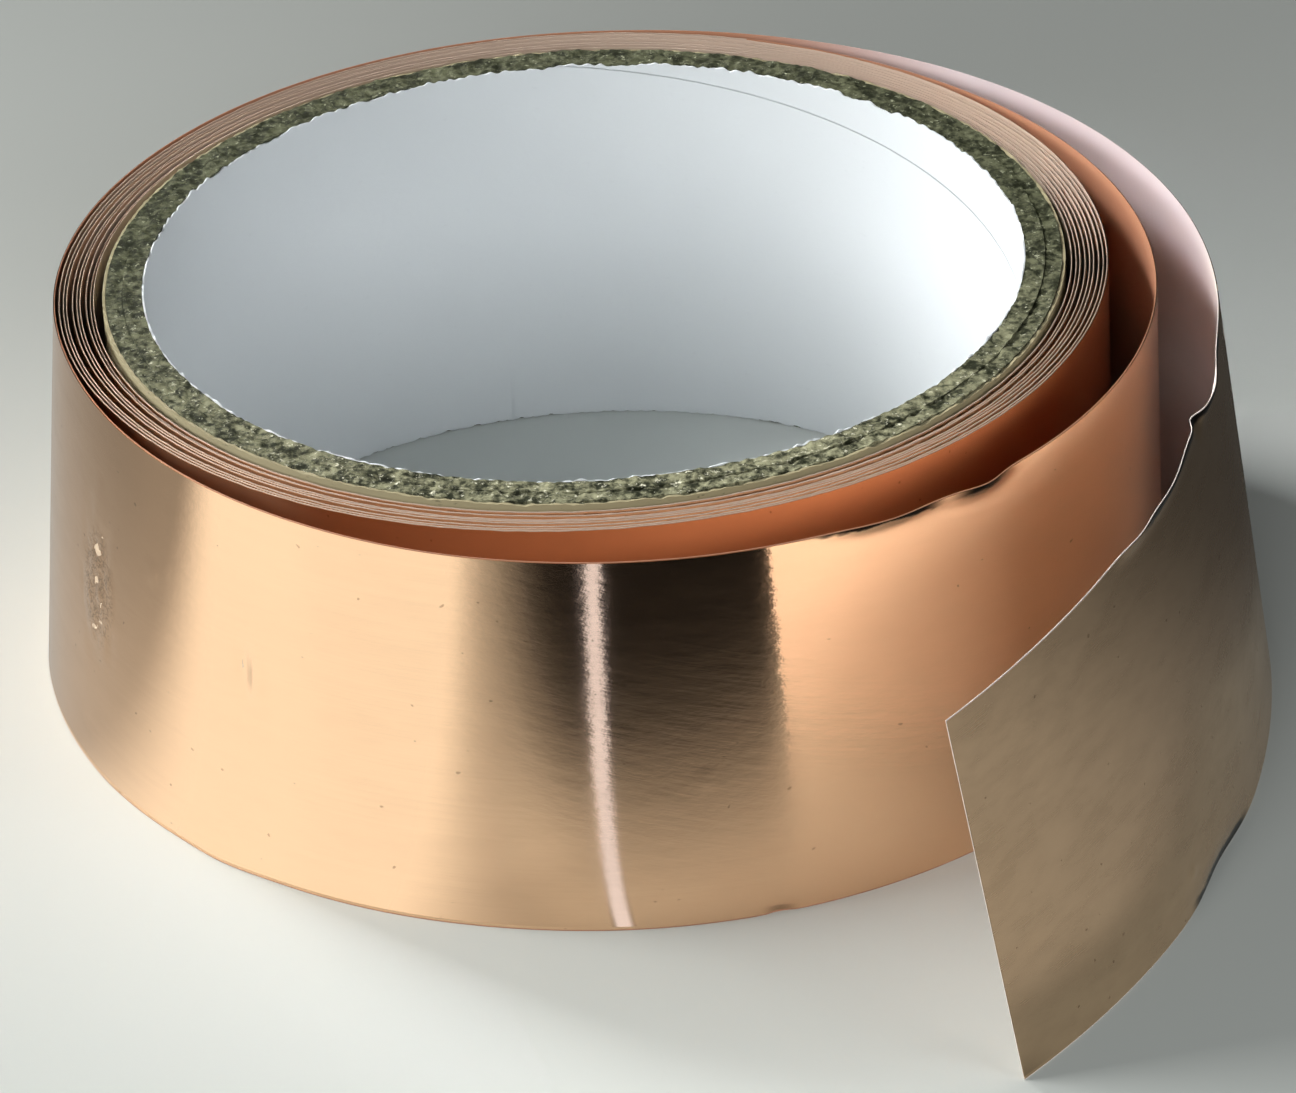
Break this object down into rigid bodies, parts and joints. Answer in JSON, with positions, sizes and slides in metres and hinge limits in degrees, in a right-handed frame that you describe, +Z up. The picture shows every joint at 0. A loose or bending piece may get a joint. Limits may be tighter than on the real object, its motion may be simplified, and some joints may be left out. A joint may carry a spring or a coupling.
{
  "type": "copper foil tape roll",
  "caption": "Roll of adhesive copper foil tape on a paper core, with a loose outer turn and a free end that bends and whose release liner peels.",
  "frame": {"origin": "on the core's axis, in the plane that the roll stands on", "axes": "+Z up the core's axis, -Y towards the side where the free end hangs off, +X towards the side where it leaves the roll"},
  "size_m": [0.1072, 0.1235, 0.036],
  "materials": {
    "copper_foil": "bright rolled copper, half mirror, brushed along the strip",
    "tape_adhesive": "clear acrylic film, tacky",
    "release_liner": "smooth siliconised paper, faintly lilac",
    "white_lining": "plain white paper",
    "grey_board": "cut chipboard edge, fibrous",
    "cream_wrap": "plain kraft wrap",
    "start_tab": "double-sided tape"
  },
  "bodies": {
    "roll": {"core_lining_ply": "white_lining", "core_board_ply_inner": "grey_board", "core_board_ply_outer": "grey_board", "core_wrap_ply": "cream_wrap", "core_start_tab": "start_tab", "wound_foil": "copper_foil", "wound_adhesive": "tape_adhesive", "wound_liner": "release_liner", "loose_turn_foil": "copper_foil", "loose_turn_adhesive": "tape_adhesive", "loose_turn_liner": "release_liner"},
    "tail_root": {"tail_root_foil": "copper_foil", "tail_root_adhesive": "tape_adhesive", "tail_root_liner": "release_liner"},
    "tail_mid": {"tail_mid_foil": "copper_foil", "tail_mid_adhesive": "tape_adhesive", "tail_mid_liner": "release_liner"},
    "tail_tip": {"tail_tip_foil": "copper_foil", "tail_tip_adhesive": "tape_adhesive", "tail_tip_liner": "release_liner"},
    "liner_flap": {"liner_peel_flap": "release_liner"}
  },
  "joints": [
    {"name": "tail_root_bend", "type": "hinge", "parent": "roll", "child": "tail_root", "pos_m": [0.05597, -0.01535, 0.0175], "axis": [0, 0, 1], "range_deg": [-4, 15]},
    {"name": "tail_mid_bend", "type": "hinge", "parent": "tail_root", "child": "tail_mid", "pos_m": [0.05164, -0.0379, 0.0175], "axis": [0, 0, 1], "range_deg": [-4, 15]},
    {"name": "tail_tip_bend", "type": "hinge", "parent": "tail_mid", "child": "tail_tip", "pos_m": [0.04311, -0.05868, 0.0175], "axis": [0, 0, 1], "range_deg": [-4, 15]},
    {"name": "liner_peel", "type": "hinge", "parent": "tail_tip", "child": "liner_flap", "pos_m": [0.03856, -0.06585, 0.0175], "axis": [0.1274, -0.0288, -0.9914], "range_deg": [0, 30]}
  ],
  "couplings": [
    {"joint": "tail_mid_bend", "follows": "tail_root_bend", "ratio": 1},
    {"joint": "tail_tip_bend", "follows": "tail_root_bend", "ratio": 1}
  ]
}
